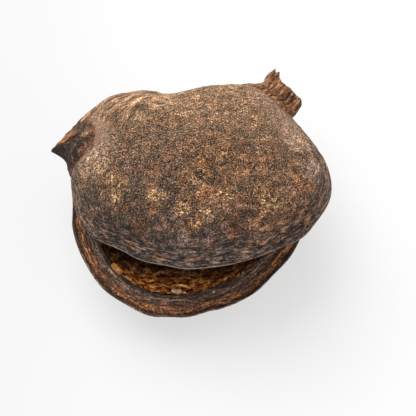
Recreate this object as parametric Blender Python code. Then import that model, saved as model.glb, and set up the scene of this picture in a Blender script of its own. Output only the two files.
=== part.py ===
"""A dried sterculia pod: one woody husk, split along its front into two valves, with a beak and torn stalk.

The pod is worked out in millimetres in its own frame. The suture that the valves part along is the plane
z = 0, the mouth faces -Y, the beak is on the left (-X) and the stalk at the back right. An angle "around" is
measured in that plane from +X, turning towards +Y. An angle "up" runs over a valve, from 0 at its lip to 90
at its crest. At the end the husk is moved to stand on z = 0 with the middle of its box at x = y = 0.
"""

import math

import bmesh
import bpy
import numpy as np

MM = 0.001

# The outline of the suture, as radii every 22.5 degrees round from +X, for a smooth closed curve
UPPER_RADII = (
    *(45.9, 39.9, 40.6, 39.1, 30.4, 32.1, 45.1, 46.8),
    *(43.0, 42.6, 41.5, 39.3, 42.5, 40.7, 46.2, 46.8),
)
# How much further out the lower valve's lip reaches, at the same angles
LOWER_REACH = (-4.0, 0.0, 0.0, 0.0, 0.0, 0.0, 0.0, 0.0, 0.0, 2.2, 7.2, 11.3, 3.2, 3.0, -4.4, -5.8)

# Where the mouth starts beside the beak and ends beside the stalk, and how far the lips take to part fully
MOUTH_LEFT = 178.0
MOUTH_RIGHT = 392.0
MOUTH_EASE = 25.0
MOUTH_FRONT = 270.0
# Each valve, upper then lower: height of its crest over the suture, place of the crest,
# how far its lip is lifted off the suture at the front, and how much its side slopes like a lens there
VALVE_HEIGHT = (26.0, 25.6)
CREST_X = (0.0, -1.0)
CREST_Y = (-3.2, 5.0)
GAPE = (14.4, 10.2)
GAPE_POWER = 1.4
LENS = (0.1, 0.3)
FULLNESS_OUT = 1.05
FULLNESS_UP = 1.03

# The wall inside, and the broken face that each lip shows along the mouth and at the closed back
WALL = 4.0
WALL_EASE = 45.0
RIM_WIDTH = 6.6
RIM_WIDTH_BACK = 5.2
INNER_LIP_UP = 7.0
# Across that face, in shares from its outer edge: a groove under the skin, a shallow band, then a step down
GROOVE_DEPTH = 0.9
GROOVE_PLACE = 0.17
GROOVE_HALF_WIDTH = 0.055
BAND_DEPTH = 0.3
BAND_START = 0.12
STEP_DEPTH = 0.5
STEP_PLACE = 0.54
STEP_WIDTH = 0.08
EDGE_SHARE = 0.07

# The beak: where it points, its reach, and the half widths of its root behind, in front and over each valve
BEAK_AROUND = 167.4
BEAK_LENGTH = 7.8
BEAK_SPREAD_BACK = 14.0
BEAK_SPREAD_FRONT = 9.0
BEAK_SPREAD_UP = (13.5, 3.8)
BEAK_BLUNTNESS = 0.08
# How fast its flanks fall away behind and in front, and where round it the one turns into the other on each
# valve, as a start and a length: -1 is behind the beak, 0 above or below it, and 1 in front
BEAK_SHARPNESS = (1.9, 5.0)
SHARPENING = ((-0.3, 1.3), (-1.0, 0.6))
# The hollow round its root: depth, distance and half width, then its place and half length round the beak
MOAT_DEPTH = 1.7
MOAT_PLACE = 1.17
MOAT_WIDTH = 0.2
MOAT_LEAN = 0.35
MOAT_TURN = 0.9

# The furrow along the upper valve's right shoulder: middle and half length around, height and half width
FURROW_DEPTH = 0.8
FURROW_AROUND = 12.0
FURROW_REACH = 34.0
FURROW_HEIGHT = 8.0
FURROW_HALF_WIDTH = 2.6

# The torn stalk: the patch of husk it grows from, its axis, its size and its ragged end
STALK_FIRST = 29.5
STALK_LAST = 65.0
STALK_AROUND = 48.0
STALK_BASE_RING = 4
STALK_TURN = 45.0
STALK_RISE = 8.0
STALK_REACH = 9.5
STALK_SHIFT = 1.5
STALK_HALF_WIDTH = 7.6
STALK_HALF_HEIGHT = 5.4
STALK_FLARE = (0.93, 0.13)
STALK_NECK = 0.65
# Each flute: ridges round the stalk, height as a share of the radius, turn
STALK_FLUTES = ((5, 0.05, 0.6), (9, 0.04, 2.0))
# Each ripple of the ragged end: waves round it, height, turn
STALK_RAG = ((3, 0.3, 1.0), (7, 0.25, 0.0))
# Humps round the stalk, each with its size, turn in degrees and half width: the two tips that end the ridge,
# the ridge as a share of the radius, the corner that is broken off, and the fillet at the neck
STALK_TIPS = ((2.5, 141.0, 9.0), (1.9, 121.0, 7.0))
STALK_RIDGE = (0.18, 131.0, 16.0)
STALK_CORNER = (1.3, -6.0, 17.0)
STALK_FILLET = (1.6, 0.0, 45.0)
DISH_DEPTH = 2.6
DISH_RING = 0.55
DISH_RING_DEPTH = 0.8
STALK_RINGS = (0.3, 0.65, 1.0)

# Uneven swelling of the skin and of the lining: height and length of its waves
SWELL = 0.45
SWELL_LENGTH = 17.0
LINING_RELIEF = 0.4
LINING_LENGTH = 7.0
SWELL_WAVES = 9
SKIN_SEED = 3
LINING_SEED = 5
FLAT_SPOT_DEPTH = 1.2

# The mesh: columns round the back and round the mouth, and the rings of each layer in degrees up
BACK_COLUMNS = 48
MOUTH_COLUMNS = 48
OUTER_RINGS = (0.0, 2.5, 5.5, 9.0, 13.0, 19.0, 27.0, 36.0, 46.0, 56.0, 65.5, 74.0, 82.0, 90.0)
INNER_RINGS = (0.0, 10.0, 21.0, 34.0, 50.0, 68.0, 90.0)
OUTER_HALVINGS = (7, 10)
INNER_HALVINGS = (3, 5)
RIM_SHARES = (0.0, 0.08, 0.17, 0.27, 0.52, 0.63, 0.82, 1.0)
# Columns crowd together at the beak and at the stalk: where, over what width, and how much
CROWDS = ((BEAK_AROUND, 9.0, 1.8), (STALK_AROUND, 16.0, 0.9))
CROWD_STEPS = 720
SHARP_EDGE = 50.0

HUSK_COLOUR = (0.13, 0.075, 0.045, 1.0)
HUSK_ROUGHNESS = 0.85


def round_spline(radii, around):
    """A closed cubic B-spline through evenly spaced control radii, read at angles in degrees."""
    values = np.asarray(radii, float)
    count = len(values)
    place = np.asarray(around, float) / 360.0 * count
    whole = np.floor(place).astype(int)
    t = place - whole
    weights = (
        (1 - t) ** 3 / 6,
        (3 * t**3 - 6 * t**2 + 4) / 6,
        (-3 * t**3 + 3 * t**2 + 3 * t + 1) / 6,
        t**3 / 6,
    )
    return sum(w * values[(whole + k - 1) % count] for k, w in enumerate(weights))


def outline_radius(side, around):
    """Radius of a valve's lip: side 0 is the upper valve and 1 the lower."""
    radius = round_spline(UPPER_RADII, around)
    if side == 1:
        radius = radius + round_spline(LOWER_REACH, around) * mouth_share(around)
    return radius


def ease(share):
    """0 to 1 with a level start and end."""
    t = np.clip(share, 0, 1)
    return t * t * (3 - 2 * t)


def bump(distance, half_width):
    """1 in the middle of a smooth bump, fading to nothing over about two half widths."""
    return np.exp(-((distance / half_width) ** 2))


def turn_from(around, place):
    """Degrees from a place on the outline, between -180 and 180."""
    return (np.asarray(around, float) - place + 180.0) % 360.0 - 180.0


def mouth_share(around):
    """0 over the closed back, rising smoothly to 1 a little way in from each corner of the mouth."""
    turn = (np.asarray(around, float) - MOUTH_LEFT) % 360.0
    inside = np.minimum(turn, MOUTH_RIGHT - MOUTH_LEFT - turn)
    return ease(inside / MOUTH_EASE)


def corner(around):
    angle = math.radians(around)
    radius = float(round_spline(UPPER_RADII, around))
    return np.array([radius * math.cos(angle), radius * math.sin(angle)])


def share_in_front(x, y):
    """How far a point lies in front of the line through the mouth's corners: 1 at the frontmost lip."""
    left, right = corner(MOUTH_LEFT), corner(MOUTH_RIGHT)
    along = (right - left) / np.linalg.norm(right - left)
    front = np.array([along[1], -along[0]])
    lip = corner(MOUTH_FRONT)
    return np.maximum((x - left[0]) * front[0] + (y - left[1]) * front[1], 0) / ((lip - left) @ front)


def swells(points, length, seed):
    """A smooth uneven field of about -1 to 1 over points, whose waves are about that long."""
    draw = np.random.RandomState(seed)
    field = np.zeros(points.shape[:-1])
    for _ in range(SWELL_WAVES):
        direction = draw.normal(size=3)
        direction /= np.linalg.norm(direction)
        rate = 2 * math.pi / (length * draw.uniform(0.7, 1.5))
        field += np.sin(points @ direction * rate + draw.uniform(0, 2 * math.pi))
    return field / math.sqrt(SWELL_WAVES)


def beak_field(side, around, height, radius):
    """Distance from the beak's axis, 1 at its root's edge, and the lean: -1 behind it and 1 in front."""
    across = np.radians(turn_from(around, BEAK_AROUND)) * radius
    across = across / np.where(across > 0, BEAK_SPREAD_FRONT, BEAK_SPREAD_BACK)
    root = np.sqrt(across**2 + (height / BEAK_SPREAD_UP[side]) ** 2 + BEAK_BLUNTNESS**2)
    return root, across / root


def beak_reach(side, root, lean):
    """How far the beak draws the husk out."""
    first, over = SHARPENING[side]
    behind, front = BEAK_SHARPNESS
    sharpness = behind + (front - behind) * ease((lean - first) / over)
    return BEAK_LENGTH * np.clip(1 - root, 0, 1) ** sharpness


def beak_moat(root, lean):
    """Depth of the hollow round the beak's root."""
    return MOAT_DEPTH * bump(root - MOAT_PLACE, MOAT_WIDTH) * bump(lean - MOAT_LEAN, MOAT_TURN)


def furrow(side, around, height):
    """Depth of the furrow that follows the lip along the upper valve's right shoulder."""
    if side == 1:
        return np.zeros(np.broadcast(around, height).shape)
    along = ease(1 - np.abs(turn_from(around, FURROW_AROUND)) / FURROW_REACH)
    return FURROW_DEPTH * along * bump(height - FURROW_HEIGHT, FURROW_HALF_WIDTH)


def valve(side, layer, up, around):
    """Points of one valve, for degrees up (rings) and around (columns). The layer is outer or inner."""
    sign = (1.0, -1.0)[side]
    up = np.radians(np.asarray(up, float))[:, None]
    around = np.asarray(around, float)[None, :]
    angle = np.radians(around)
    radius = outline_radius(side, around)
    lip_share = np.clip(share_in_front(radius * np.cos(angle), radius * np.sin(angle)), 0, 1)
    if layer == "inner":
        start = math.radians(INNER_LIP_UP) * mouth_share(around)
        up = start + up * (1 - start / (math.pi / 2))

    lens = LENS[side] * lip_share
    out = (1 - lens) * np.maximum(np.cos(up), 0) ** FULLNESS_OUT + lens * (1 - up / (math.pi / 2))
    out = np.maximum(out, 0)
    height = VALVE_HEIGHT[side] * np.sin(up) ** FULLNESS_UP
    x = CREST_X[side] * (1 - out) + radius * np.cos(angle) * out
    y = CREST_Y[side] * (1 - out) + radius * np.sin(angle) * out

    # The outward direction of the smooth dome, which the wall and the relief are measured along
    flat = VALVE_HEIGHT[side] * np.cos(up)
    rise = radius * np.sin(up)
    size = np.hypot(flat, rise)
    level = flat / size
    normal = np.stack(np.broadcast_arrays(level * np.cos(angle), level * np.sin(angle), rise / size), -1)
    points = np.stack(np.broadcast_arrays(x, y, height), -1)
    if layer == "inner":
        rim = RIM_WIDTH_BACK + (RIM_WIDTH - RIM_WIDTH_BACK) * mouth_share(around)
        deep = ease(np.degrees(up) / WALL_EASE)
        depth = rim + (WALL - rim) * deep
        rough = swells(points * (1, 1, sign), LINING_LENGTH, LINING_SEED) * LINING_RELIEF * deep
        points = points - normal * (depth + rough)[..., None]
    else:
        root, lean = beak_field(side, around, height, radius)
        swell = SWELL * swells(points * (1, 1, sign), SWELL_LENGTH, SKIN_SEED)
        lift = swell - beak_moat(root, lean) - furrow(side, around, height)
        beak = math.radians(BEAK_AROUND)
        reach = beak_reach(side, root, lean)[..., None] * np.array([math.cos(beak), math.sin(beak), 0.0])
        points = points + normal * lift[..., None] + reach
    points[..., 2] = np.maximum(points[..., 2], 0)
    gape = GAPE[side] * share_in_front(points[..., 0], points[..., 1]) ** GAPE_POWER
    points[..., 2] = sign * (points[..., 2] + gape)
    return points


def rim_dip(share, around):
    """How far the broken face of a lip sinks below the line from its outer to its inner edge."""
    groove = GROOVE_DEPTH * bump(share - GROOVE_PLACE, GROOVE_HALF_WIDTH)
    band = BAND_DEPTH * np.clip(share / BAND_START, 0, 1)
    step = STEP_DEPTH * np.clip((share - STEP_PLACE) / STEP_WIDTH, 0, 1)
    ends = np.clip(np.minimum(share, 1 - share) / EDGE_SHARE, 0, 1)
    return (groove + band + step) * ends * np.sqrt(mouth_share(around))


def column_angles():
    """Angles of the columns: first the closed back from the mouth's right corner, then the mouth."""
    back = np.linspace(MOUTH_RIGHT - 360.0, MOUTH_LEFT, CROWD_STEPS + 1)
    crowd = np.cumsum(1 + sum(extra * bump(back - place, width) for place, width, extra in CROWDS))
    crowd = (crowd - crowd[0]) / (crowd[-1] - crowd[0])
    closed = np.interp(np.arange(BACK_COLUMNS) / BACK_COLUMNS, crowd, back)
    mouth = np.linspace(MOUTH_LEFT, MOUTH_RIGHT, MOUTH_COLUMNS + 1)[:-1]
    return np.concatenate([closed, mouth])


def add_dome(bm, points, lip, halvings):
    """Fills one layer of a valve from its lip loop to its crest. A halving keeps every other column."""
    rings = [lip]
    step = 1
    for j in range(1, len(points) - 1):
        if j in halvings:
            step *= 2
        rings.append([bm.verts.new(p) for p in points[j][::step]])
    crest = bm.verts.new(points[-1].mean(axis=0))
    faces = []
    for j, (low, high) in enumerate(zip(rings, rings[1:])):
        row = []
        ratio = len(low) // len(high)
        for i in range(len(high)):
            k = (i + 1) % len(high)
            if ratio == 1:
                row.append(bm.faces.new((low[i], low[k], high[k], high[i])))
            else:
                a, b, c = low[2 * i], low[2 * i + 1], low[(2 * i + 2) % len(low)]
                row.append(bm.faces.new((a, b, high[i])))
                row.append(bm.faces.new((b, high[k], high[i])))
                row.append(bm.faces.new((b, c, high[k])))
        faces.append(row)
    last = rings[-1]
    for i in range(len(last)):
        bm.faces.new((last[i], last[(i + 1) % len(last)], crest))
    return rings, faces


def rim_column(bm, start, end, around, sign):
    """Vertices across the broken face of a lip, from its outer edge to its inner edge, at one place."""
    column = [start]
    for share in RIM_SHARES[1:-1]:
        p = start.co.lerp(end.co, share)
        p.z += sign * float(rim_dip(share, around))
        column.append(bm.verts.new(p))
    return column + [end]


def add_rim(bm, outer, inner, around, corners, sign):
    """The broken face of one lip, between the corner columns that both lips share."""
    columns = [corners[0]]
    for i in range(BACK_COLUMNS + 1, BACK_COLUMNS + MOUTH_COLUMNS):
        columns.append(rim_column(bm, outer[i], inner[i], around[i], sign))
    columns.append(corners[1])
    for left, right in zip(columns, columns[1:]):
        for k in range(len(RIM_SHARES) - 1):
            bm.faces.new((left[k], right[k], right[k + 1], left[k + 1]))


def stalk_frame():
    """The stalk's axis, the direction across it and the direction up it."""
    turn, rise = math.radians(STALK_TURN), math.radians(STALK_RISE)
    axis = np.array([math.cos(turn) * math.cos(rise), math.sin(turn) * math.cos(rise), math.sin(rise)])
    across = np.array([math.sin(turn), -math.cos(turn), 0.0])
    return axis, across, np.cross(across, axis)


def hump(turn, size_turn_half):
    """A hump round the stalk, at a turn in radians."""
    size, place, half = size_turn_half
    return size * bump(turn_from(math.degrees(turn), place), half)


def stalk_point(base, middle, share):
    """A point of the torn stalk, share of the way from a point of its root to its ragged end."""
    axis, across, upward = stalk_frame()
    arm = base - middle
    turn = math.atan2(arm @ upward, arm @ across)
    flute = 1 + sum(high * math.sin(count * turn + phase) for count, high, phase in STALK_FLUTES)
    stout = (flute + hump(turn, STALK_RIDGE)) * (STALK_FLARE[0] + STALK_FLARE[1] * share**2)
    section = STALK_HALF_WIDTH * math.cos(turn) * across + STALK_HALF_HEIGHT * math.sin(turn) * upward
    rag = sum(high * math.sin(count * turn + phase) for count, high, phase in STALK_RAG)
    rag += sum(hump(turn, tip) for tip in STALK_TIPS) - hump(turn, STALK_CORNER)
    along = STALK_REACH * share + rag * share**3
    aside = STALK_SHIFT + hump(turn, STALK_FILLET) * math.sin(math.pi * share)
    target = middle + across * aside + section * stout + axis * along
    blend = ease(share / STALK_NECK)
    return (base + axis * STALK_REACH * share) * (1 - blend) + target * blend


def join_rings(bm, low, high):
    for i in range(len(low)):
        k = (i + 1) % len(low)
        bm.faces.new((low[i], low[k], high[k], high[i]))


def stalk_root(bm, upper, lower, around):
    """Clears a patch of the outer skin across the closed suture and gives the loop of vertices round it."""
    columns = [i for i in range(BACK_COLUMNS) if STALK_FIRST <= around[i] <= STALK_LAST]
    first, last, high = columns[0], columns[-1], STALK_BASE_RING
    for faces in (upper[1], lower[1]):
        doomed = [faces[j][i] for j in range(high) for i in range(first, last)]
        bmesh.ops.delete(bm, geom=doomed, context="FACES_ONLY")
    up, down = upper[0], lower[0]
    inside = {rings[j][i] for rings in (up, down) for j in range(high) for i in range(first + 1, last)}
    loop = [up[high][i] for i in range(first, last + 1)]
    loop += [up[j][last] for j in range(high - 1, -1, -1)]
    loop += [down[j][last] for j in range(1, high + 1)]
    loop += [down[high][i] for i in range(last - 1, first - 1, -1)]
    loop += [down[j][first] for j in range(high - 1, 0, -1)]
    loop += [up[j][first] for j in range(high)]
    bmesh.ops.delete(bm, geom=list(inside), context="VERTS")
    return loop


def add_stalk(bm, upper, lower, around):
    """The stub of the torn stalk, with a dished ragged end."""
    ring = stalk_root(bm, upper, lower, around)
    places = [np.array(v.co) for v in ring]
    middle = sum(places) / len(places)
    for share in STALK_RINGS:
        fresh = [bm.verts.new(stalk_point(p, middle, share)) for p in places]
        join_rings(bm, ring, fresh)
        ring = fresh
    axis = stalk_frame()[0]
    heart = sum(np.array(v.co) for v in ring) / len(ring) - axis * DISH_DEPTH
    inner = []
    for v in ring:
        inner.append(bm.verts.new(heart + (np.array(v.co) - heart) * DISH_RING - axis * DISH_RING_DEPTH))
    join_rings(bm, ring, inner)
    centre = bm.verts.new(heart)
    for i in range(len(inner)):
        bm.faces.new((inner[i], inner[(i + 1) % len(inner)], centre))


def husk_mesh():
    """The whole husk as one closed mesh."""
    bm = bmesh.new()
    around = column_angles()
    is_back = np.arange(len(around)) < BACK_COLUMNS
    is_back[BACK_COLUMNS] = True
    loops = {}
    for layer, rings in (("outer", OUTER_RINGS), ("inner", INNER_RINGS)):
        points = [valve(side, layer, rings, around) for side in (0, 1)]
        upper_lip = [bm.verts.new(p) for p in points[0][0]]
        lower_lip = [upper_lip[i] if is_back[i] else bm.verts.new(p) for i, p in enumerate(points[1][0])]
        halvings = OUTER_HALVINGS if layer == "outer" else INNER_HALVINGS
        upper = add_dome(bm, points[0], upper_lip, halvings)
        lower = add_dome(bm, points[1], lower_lip, halvings)
        loops[layer] = (upper, lower)
    (outer_up, outer_low), (inner_up, inner_low) = loops["outer"], loops["inner"]
    outer_lip, inner_lip = outer_up[0][0], inner_up[0][0]
    corners = [rim_column(bm, outer_lip[i], inner_lip[i], around[i], 1.0) for i in (BACK_COLUMNS, 0)]
    add_rim(bm, outer_lip, inner_lip, around, corners, 1.0)
    add_rim(bm, outer_low[0][0], inner_low[0][0], around, corners, -1.0)
    add_stalk(bm, outer_up, outer_low, around)
    bmesh.ops.recalc_face_normals(bm, faces=bm.faces)
    return bm


def flatten_and_stand(bm):
    """Cuts the small flat spot that the pod rests on, and stands it on z = 0 with its box centred."""
    floor = min(v.co.z for v in bm.verts) + FLAT_SPOT_DEPTH
    for v in bm.verts:
        v.co.z = max(v.co.z, floor)
    low = [min(v.co[k] for v in bm.verts) for k in range(3)]
    high = [max(v.co[k] for v in bm.verts) for k in range(3)]
    for v in bm.verts:
        v.co.x -= (low[0] + high[0]) / 2
        v.co.y -= (low[1] + high[1]) / 2
        v.co.z -= low[2]
        v.co *= MM


def husk_material():
    material = bpy.data.materials.new("dry_husk")
    material.use_nodes = True
    shader = material.node_tree.nodes["Principled BSDF"]
    shader.inputs["Base Color"].default_value = HUSK_COLOUR
    shader.inputs["Roughness"].default_value = HUSK_ROUGHNESS
    shader.inputs["Metallic"].default_value = 0.0
    return material


def main():
    for old in list(bpy.data.objects):
        bpy.data.objects.remove(old)
    bm = husk_mesh()
    flatten_and_stand(bm)
    mesh = bpy.data.meshes.new("pod_husk")
    bm.to_mesh(mesh)
    bm.free()
    mesh.materials.append(husk_material())
    mesh.shade_smooth()
    mesh.set_sharp_from_angle(angle=math.radians(SHARP_EDGE))
    husk = bpy.data.objects.new("pod_husk", mesh)
    bpy.context.scene.collection.objects.link(husk)


main()
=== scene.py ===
"""The looks of a dried sterculia pod: felted skin, broken rims, fibrous lining and three bits of torn pith.

The shapes repeat the formulas of the part's source in finer steps, in millimetres, in the pod's own frame.
The suture is the plane z = 0, the mouth faces -Y, the beak is on the left and the torn stalk at the back
right. "Around" is an angle in that plane from +X towards +Y, and "up" runs over a valve from 0 at its lip to
90 at its crest, both in degrees. A fine relief of lumps, ribs and fibres is then added along the normals.
"""

import math

import bpy
import numpy as np
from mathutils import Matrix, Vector, noise


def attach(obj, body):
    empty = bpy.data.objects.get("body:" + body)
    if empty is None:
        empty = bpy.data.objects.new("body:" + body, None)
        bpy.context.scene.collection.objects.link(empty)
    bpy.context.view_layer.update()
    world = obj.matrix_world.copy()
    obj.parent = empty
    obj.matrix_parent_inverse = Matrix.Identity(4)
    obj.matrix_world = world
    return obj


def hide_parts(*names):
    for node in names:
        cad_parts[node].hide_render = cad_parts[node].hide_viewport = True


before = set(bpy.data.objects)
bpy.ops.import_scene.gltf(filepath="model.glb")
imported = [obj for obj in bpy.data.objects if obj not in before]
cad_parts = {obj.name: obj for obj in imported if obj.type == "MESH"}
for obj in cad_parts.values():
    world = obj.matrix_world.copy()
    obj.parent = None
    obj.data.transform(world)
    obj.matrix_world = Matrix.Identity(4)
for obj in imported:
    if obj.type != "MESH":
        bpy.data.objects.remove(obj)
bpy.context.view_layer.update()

MM = 0.001
# The origin of the pod's frame in the part's frame, in millimetres
POD_PLACE = np.array((2.2445, 3.6346, 25.5046))

# The form, with the same names and values as the part's source. First the outline of the suture, as radii
# every 22.5 degrees, and how much further out the lower valve's lip reaches at the same angles
UPPER_RADII = (
    *(45.9, 39.9, 40.6, 39.1, 30.4, 32.1, 45.1, 46.8),
    *(43.0, 42.6, 41.5, 39.3, 42.5, 40.7, 46.2, 46.8),
)
LOWER_REACH = (-4.0, 0.0, 0.0, 0.0, 0.0, 0.0, 0.0, 0.0, 0.0, 2.2, 7.2, 11.3, 3.2, 3.0, -4.4, -5.8)
# Where the mouth starts beside the beak and ends beside the stalk, and how far the lips take to part fully
MOUTH_LEFT = 178.0
MOUTH_RIGHT = 392.0
MOUTH_EASE = 25.0
MOUTH_FRONT = 270.0
# Each valve, upper then lower: height of its crest over the suture, place of the crest, how far its lip is
# lifted off the suture at the front, and how much its side slopes like a lens there
VALVE_HEIGHT = (26.0, 25.6)
CREST_X = (0.0, -1.0)
CREST_Y = (-3.2, 5.0)
GAPE = (14.4, 10.2)
GAPE_POWER = 1.4
LENS = (0.1, 0.3)
FULLNESS_OUT = 1.05
FULLNESS_UP = 1.03
# The wall inside, and the broken face that each lip shows along the mouth and at the closed back
WALL = 4.0
WALL_EASE = 45.0
RIM_WIDTH = 6.6
RIM_WIDTH_BACK = 5.2
INNER_LIP_UP = 7.0
# Across that face, in shares from its outer edge: a groove under the skin, a shallow band, then a step down
GROOVE_DEPTH = 0.9
GROOVE_PLACE = 0.17
GROOVE_HALF_WIDTH = 0.055
BAND_DEPTH = 0.3
BAND_START = 0.12
STEP_DEPTH = 0.5
STEP_PLACE = 0.54
STEP_WIDTH = 0.08
EDGE_SHARE = 0.07
# The beak: where it points, its reach, and the half widths of its root behind, in front and over each valve
BEAK_AROUND = 167.4
BEAK_LENGTH = 7.8
BEAK_SPREAD_BACK = 14.0
BEAK_SPREAD_FRONT = 9.0
BEAK_SPREAD_UP = (13.5, 3.8)
BEAK_BLUNTNESS = 0.08
# How fast its flanks fall away behind and in front, and on each valve where round it the one starts to turn
# into the other and over how much it does: -1 is behind the beak, 0 above or below it, and 1 in front
BEAK_SHARPNESS = (1.9, 5.0)
SHARPENING = ((-0.3, 1.3), (-1.0, 0.6))
# The hollow round its root: depth, distance and half width, then its place and half length round the beak
MOAT_DEPTH = 1.7
MOAT_PLACE = 1.17
MOAT_WIDTH = 0.2
MOAT_LEAN = 0.35
MOAT_TURN = 0.9
# The furrow along the upper valve's right shoulder: middle and half length around, height and half width
FURROW_DEPTH = 0.8
FURROW_AROUND = 12.0
FURROW_REACH = 34.0
FURROW_HEIGHT = 8.0
FURROW_HALF_WIDTH = 2.6
# The torn stalk: where the patch of husk that it grows from ends, around and up, then its axis and size
STALK_LAST = 65.0
STALK_BASE_UP = 13.0
STALK_TURN = 45.0
STALK_RISE = 8.0
STALK_REACH = 9.5
STALK_SHIFT = 1.5
STALK_HALF_WIDTH = 7.6
STALK_HALF_HEIGHT = 5.4
STALK_FLARE = (0.93, 0.13)
STALK_NECK = 0.65
# Ripples round it, each with its count, height and turn: flutes as shares of the radius, and the ragged end
STALK_FLUTES = ((5, 0.05, 0.6), (9, 0.04, 2.0))
STALK_RAG = ((3, 0.3, 1.0), (7, 0.25, 0.0))
# Humps round it, each with its size, turn in degrees and half width: the two tips that end the ridge, the
# ridge as a share of the radius, the corner that is broken off, and the fillet at the neck
STALK_TIPS = ((2.5, 141.0, 9.0), (1.9, 121.0, 7.0))
STALK_RIDGE = (0.18, 131.0, 16.0)
STALK_CORNER = (1.3, -6.0, 17.0)
STALK_FILLET = (1.6, 0.0, 45.0)
DISH_DEPTH = 2.6
# Uneven swelling of the skin and of the lining: height and length of its waves
SWELL = 0.45
SWELL_LENGTH = 17.0
LINING_RELIEF = 0.4
LINING_LENGTH = 7.0
SWELL_WAVES = 9
SKIN_SEED = 3
LINING_SEED = 5

# From here on only the looks. The fine meshes: columns round the back and round the mouth, rings of each
# layer, the degrees up where a dome's columns are halved, the steps across a rim, along the stalk and across
# its end, the rings and columns of a bit of pith, and the angle in degrees from which an edge is shaded sharp
BACK_COLUMNS = 234
MOUTH_COLUMNS = 342
SKIN_RINGS = 104
LINING_RINGS = 84
HALVED_AT = (60.0, 75.5, 83.0)
RIM_STEPS = 30
STALK_STEPS = 26
DISH_STEPS = 9
BIT_RINGS = 12
BIT_COLUMNS = 24
SHARP_EDGE = 60.0

# What a vertex of the stalk says of its height over the lip and its distance from the beak: far from both
FAR_OVER_LIP = 20.0
FAR_FROM_BEAK = 3.0

# Threads that stick out of the stalk's end: how far, and how densely, as the radius of the circle that their
# noise is read on. Then how hollow its dish is
FRAY = 0.4
FRAY_THREADS = 5.5
DISH_BOWL = 0.9

# What a millimetre counts for where a pattern is drawn out: along the lip, along the beak and round a rim
ALONG_LIP = 0.16
ALONG_BEAK = 0.22
ALONG_RIM = 0.14
# The room that such patterns are given, in millimetres: across a rim's face, from the stalk's axis to its
# skin, and along the stalk, for the relief and for the colours
RIM_ACROSS = 9.0
STALK_GIRTH = 8.0
STALK_LONG_RELIEF = 1.2
STALK_LONG_COLOUR = 2.0

# The relief's layers: width and height of their lumps in millimetres, and a number that sets each apart. The
# lip's ribs keep this share of their height at the back, and the stalk's lose that share towards its end
FELT_LUMPS = ((5.2, 0.24, 0), (2.3, 0.17, 1), (1.15, 0.12, 2))
LIP_RIBS = (1.25, 0.32, 3)
RIBS_AT_BACK = 0.35
SHOULDER_FURROWS = (2.0, 0.28, 4)
BEAK_FIBRES = (1.3, 0.35, 5)
CRUST_CRUMBS = (1.6, 0.4, 6)
STALK_RIBS = (2.4, 0.65, 8)
STALK_THREADS = (0.9, 0.2, 9)
STALK_LUMPS = (1.6, 0.45, 16)
STALK_WORN_AT_END = 0.55
END_LUMPS = (1.0, 0.5, 10)
HOLLOW_LUMPS = (2.8, 0.7, 11)
HOLLOW_CRESTS = (1.6, 1.1, 12)
RIM_STREAKS = (0.55, 0.16, 13)
RIM_FIBRES = (1.0, 0.3, 14)
RIM_GRAIN = (0.8, 0.08, 15)
# Middle of the crusted patch beside the beak, in x and y, and its half width
CRUST_X = -31.0
CRUST_Y = -8.0
CRUST_HALF_WIDTH = 11.0

# The bits of torn pith on the lower rim: place around and share of the way across the rim, then length along
# the rim, width and height in millimetres, and a number that sets each one's lumps apart
TORN_FLAKE = (229.2, 1.0, (4.8, 1.7, 1.8), 21)
LOOSE_CRUMB = (259.6, 1.14, (3.2, 1.3, 1.6), 23)
PALE_FLECK = (277.8, 0.78, (0.7, 0.7, 1.3), 25)
# Their lumps, as the width and height of each layer on a ball of radius 1, how squarish they are, and how
# far towards its poles the rings go
BIT_LUMPS = ((1 / 1.2, 0.3), (1 / 4.0, 0.12))
BIT_SQUARENESS = 0.5
BIT_FULLNESS = 0.9

# Sizes of the colour patterns in millimetres. The render shows nothing finer than 0.35 mm, so what is finer
# on the real pod is drawn coarser: hairs and fibres of 0.05 to 0.2 mm are tufts and strands of 0.4 to 1 mm
TONE_PATCH = 9.0
RUST_PATCH = 5.0
FELT_CLOUD = 2.8
STAIN_PATCH = 2.4
ORANGE_FLECK = 1.3
SLATE_FLECK = 1.5
DARK_STROKE = 1.5
CRUST_FLAKE = 1.5
BLOTCH_GRAIN = 1.6
CREAM_DOT = 0.6
FELT_TUFT = 0.42
FELT_STRAND = 0.9
LIP_STRAND = 0.5
SHOULDER_PATCH = 2.0
BEAK_EDGE = 3.5
BEAK_FIBRE = 0.8
RIM_WAVER = 1.4
RIM_WEAR = 2.6
RIM_FIBRE = 0.6
RIM_SPECK = 0.7
LINING_CLUMP = 2.6
LINING_FIBRE = 0.9
PITH_PATCH = 1.4
PITH_FIBRE = 0.5
STALK_FIBRE = 1.0

# Spots on the skin, each with its place and radius in millimetres and its strength. It has its full strength
# in its heart, which is this share of the radius
SPOT_HEART = 0.25
GREY_FRONT = (-4, -46, 18, 32.0, 0.85)
DARK_LEFT = ((-40, -26, 4, 31.0, 0.9), (-23, -27, 15, 27.0, 0.9), (-20, -13, 21, 30.0, 0.55))
# The pale ridge on the right shoulder is partly a painted sheen
SHOULDER_RIDGE = ((31, 9, 16, 8.0, 1.0), (34, 1, 19, 8.0, 1.0), (38, -10, 20, 7.0, 1.0))
STAINED_CREST = (6, -12, 31, 16.0, 0.7)
STROKED_BACK = (-22, 30, 24, 24.0, 0.5)
COMBED_BACK = (-24, 26, 24, 30.0, 0.5)
CRUSTED_SHOULDER = (-32.5, -2, 17, 11.0, 0.9)
# A pale smooth patch at the back right, partly a painted sheen
SMOOTH_SHEEN_SHOULDER = (29, 21, 13, 15.0, 0.65)
# Where the beak's orange streak lies, partly a painted highlight on the flank that faces the light
BEAK_FLANK = (-46, 10.5, 7.5, 9.0, 1.0)
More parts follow.
